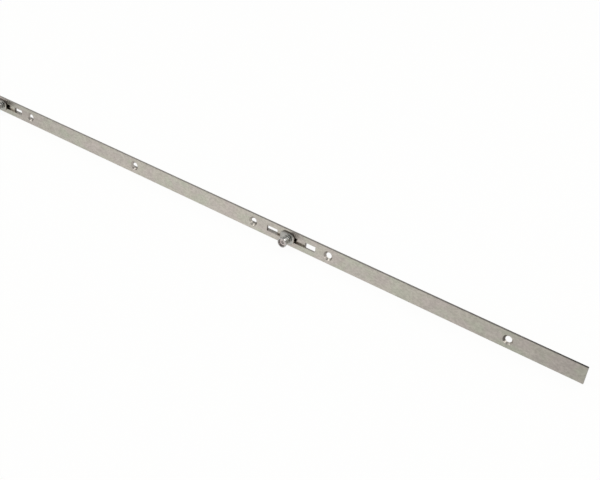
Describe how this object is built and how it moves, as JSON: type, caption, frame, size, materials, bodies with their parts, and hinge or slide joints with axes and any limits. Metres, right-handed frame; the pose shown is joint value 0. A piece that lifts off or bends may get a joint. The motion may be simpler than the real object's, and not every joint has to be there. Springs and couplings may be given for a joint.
{
  "type": "multipoint door lock",
  "caption": "Long flat-faced door lock: a lever-driven gear case slides rods behind a slotted faceplate with eccentric roller cams; roller latch and deadbolt.",
  "frame": {"origin": "spindle axis at the middle of the case's thickness", "axes": "+X along the faceplate towards the long upper arm, +Y from the faceplate into the door, +Z along the spindle through the door's thickness"},
  "size_m": [1.22, 0.0637, 0.016],
  "materials": {
    "faceplate_steel": "zinc plated, satin",
    "rod_steel": "zinc plated, satin",
    "cam_steel": "turned and zinc plated, semi-bright",
    "case_steel": "zinc plated, satin",
    "rivet_steel": "plated, satin",
    "screw_steel": "plated, satin",
    "follower_steel": "sintered steel, dull",
    "bolt_steel": "ground and nickel plated, satin",
    "spring_steel": "hard drawn, bright"
  },
  "bodies": {
    "lock_case": {"faceplate": "faceplate_steel", "rod_guides": "rod_steel", "case_tray": "case_steel", "case_cover": "case_steel", "case_posts": "rivet_steel", "case_rivets": "rivet_steel", "mounting_blocks": "rivet_steel", "case_screws": "screw_steel", "handle_bushes": "rivet_steel", "latch_guide": "case_steel", "latch_spring": "spring_steel", "deadbolt_post": "rivet_steel", "brake_spring": "spring_steel", "brake_studs": "rivet_steel"},
    "drive": {"rack_slide": "rod_steel", "upper_rod": "rod_steel", "lower_rod": "rod_steel", "guide_shoes": "cam_steel", "pin_washers": "rivet_steel"},
    "follower": {"follower": "follower_steel"},
    "latch": {"latch_body": "bolt_steel", "latch_pin": "rivet_steel", "latch_clip": "spring_steel"},
    "latch_roller": {"latch_roller": "bolt_steel"},
    "deadbolt": {"deadbolt": "bolt_steel"},
    "cam_1": {"cam_pin_1": "cam_steel"},
    "roller_1": {"cam_roller_1": "cam_steel"},
    "cam_2": {"cam_pin_2": "cam_steel"},
    "roller_2": {"cam_roller_2": "cam_steel"},
    "cam_3": {"cam_pin_3": "cam_steel"},
    "roller_3": {"cam_roller_3": "cam_steel"}
  },
  "joints": [
    {"name": "drive_slide", "type": "slide", "parent": "lock_case", "child": "drive", "axis": [1, 0, 0], "range_m": [-0.016, 0.016]},
    {"name": "follower_turn", "type": "hinge", "parent": "lock_case", "child": "follower", "pos_m": [0, 0, 0], "axis": [0, 0, 1], "range_deg": [-80, 80]},
    {"name": "cam_1_adjust", "type": "hinge", "parent": "drive", "child": "cam_1", "pos_m": [0.2178, -0.038, 0], "axis": [0, 1, 0], "range_deg": [-90, 90]},
    {"name": "roller_1_spin", "type": "hinge", "parent": "cam_1", "child": "roller_1", "pos_m": [0.2196, -0.041, 0], "axis": [0, 1, 0], "continuous": true},
    {"name": "cam_2_adjust", "type": "hinge", "parent": "drive", "child": "cam_2", "pos_m": [0.6072, -0.038, 0], "axis": [0, 1, 0], "range_deg": [-90, 90]},
    {"name": "roller_2_spin", "type": "hinge", "parent": "cam_2", "child": "roller_2", "pos_m": [0.609, -0.041, 0], "axis": [0, 1, 0], "continuous": true},
    {"name": "cam_3_adjust", "type": "hinge", "parent": "drive", "child": "cam_3", "pos_m": [-0.2184, -0.038, 0], "axis": [0, 1, 0], "range_deg": [-90, 90]},
    {"name": "roller_3_spin", "type": "hinge", "parent": "cam_3", "child": "roller_3", "pos_m": [-0.2166, -0.041, 0], "axis": [0, 1, 0], "continuous": true},
    {"name": "latch_slide", "type": "slide", "parent": "lock_case", "child": "latch", "axis": [0, 1, 0], "range_m": [0, 0.006], "stiffness_N_per_m": 800, "springref_m": -0.004, "deforming": ["latch_spring"]},
    {"name": "latch_roller_spin", "type": "hinge", "parent": "latch", "child": "latch_roller", "pos_m": [0.038, -0.0374, 0], "axis": [1, 0, 0], "continuous": true},
    {"name": "deadbolt_slide", "type": "slide", "parent": "lock_case", "child": "deadbolt", "axis": [0, -1, 0], "range_m": [0, 0.02]}
  ],
  "couplings": [
    {"joint": "follower_turn", "follows": "drive_slide", "rad_per_m": 87.266}
  ]
}
